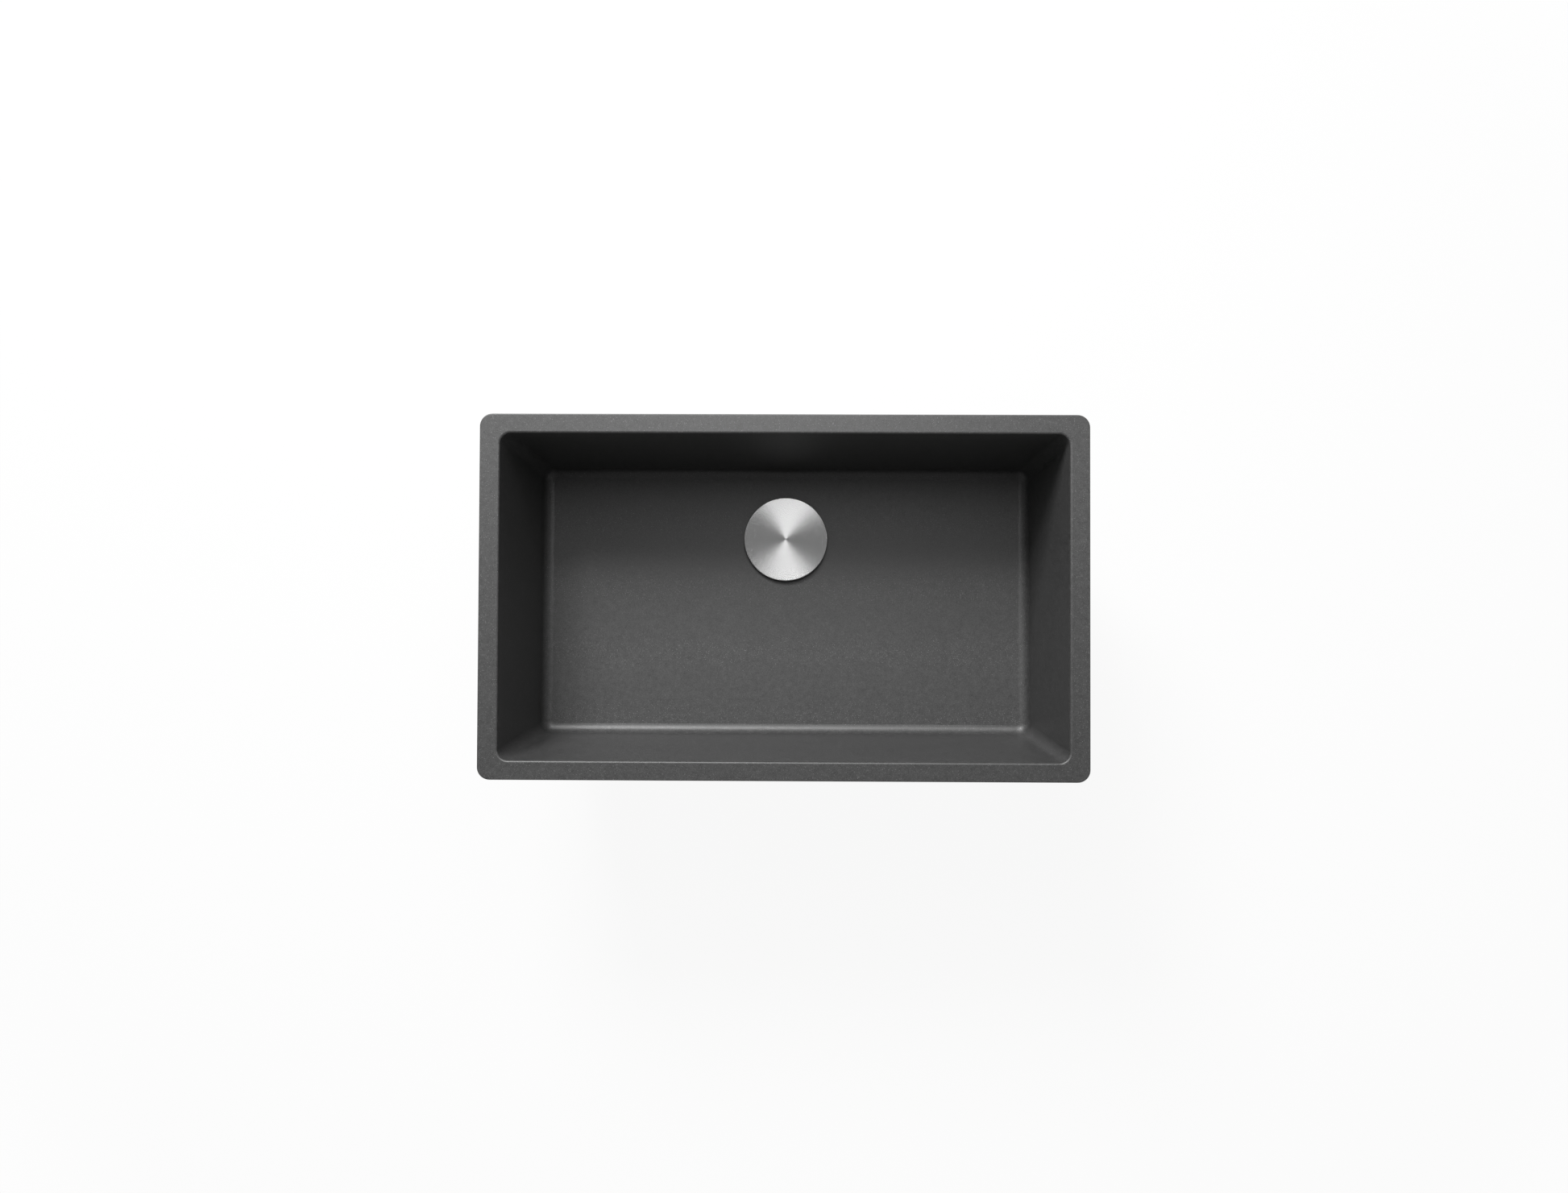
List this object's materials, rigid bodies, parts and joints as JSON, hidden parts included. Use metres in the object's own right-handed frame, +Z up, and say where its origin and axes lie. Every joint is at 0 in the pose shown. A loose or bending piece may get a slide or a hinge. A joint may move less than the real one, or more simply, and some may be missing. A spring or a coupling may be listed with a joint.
{
  "type": "undermount kitchen sink",
  "caption": "Rectangular undermount kitchen sink: a deep moulded composite bowl with a basket strainer, tailpiece and lift-off round steel drain cover.",
  "frame": {"origin": "middle of the rim's flat top face, which is sealed to the underside of the worktop", "axes": "+X along the sink's length to the user's right, +Y to the back wall, where the drain is, +Z up out of the bowl"},
  "size_m": [0.8256, 0.4952, 0.4044],
  "materials": {
    "composite": "matt, fine-grained quartz composite",
    "brushed_steel": "circular brushed",
    "polished_steel": "bright, lightly polished",
    "chrome_tube": "chrome plated brass tube",
    "chrome_nut": "chrome plated casting",
    "cast_zinc": "matt zinc casting",
    "seal_rubber": "matt black rubber",
    "putty": "soft pale foam seal",
    "silicone": "soft grey silicone",
    "fibre": "pressed red-brown fibre",
    "nylon": "natural white nylon",
    "black_plastic": "moulded, fine texture"
  },
  "bodies": {
    "sink": {"sink_bowl": "composite", "flange_seal": "putty", "strainer_body": "polished_steel", "body_gasket": "seal_rubber", "friction_ring": "fibre", "locknut": "cast_zinc", "tailpiece_washer": "nylon", "tailpiece": "chrome_tube", "slip_nut": "chrome_nut"},
    "basket": {"basket_cup": "polished_steel", "basket_post": "polished_steel", "post_spacer": "nylon", "stopper_washer": "polished_steel", "stopper": "seal_rubber", "post_catch": "nylon", "basket_knob": "black_plastic"},
    "cover": {"cover_disc": "brushed_steel", "cover_stud": "polished_steel", "cover_carrier": "black_plastic", "cover_pads": "silicone", "cover_lock_washer": "polished_steel", "cover_nut": "polished_steel"}
  },
  "joints": [
    {"name": "basket_lift", "type": "slide", "parent": "sink", "child": "basket", "axis": [0, 0, 1], "range_m": [0, 0.3]},
    {"name": "cover_lift", "type": "slide", "parent": "basket", "child": "cover", "axis": [0, 0, 1], "range_m": [0, 0.25]}
  ]
}
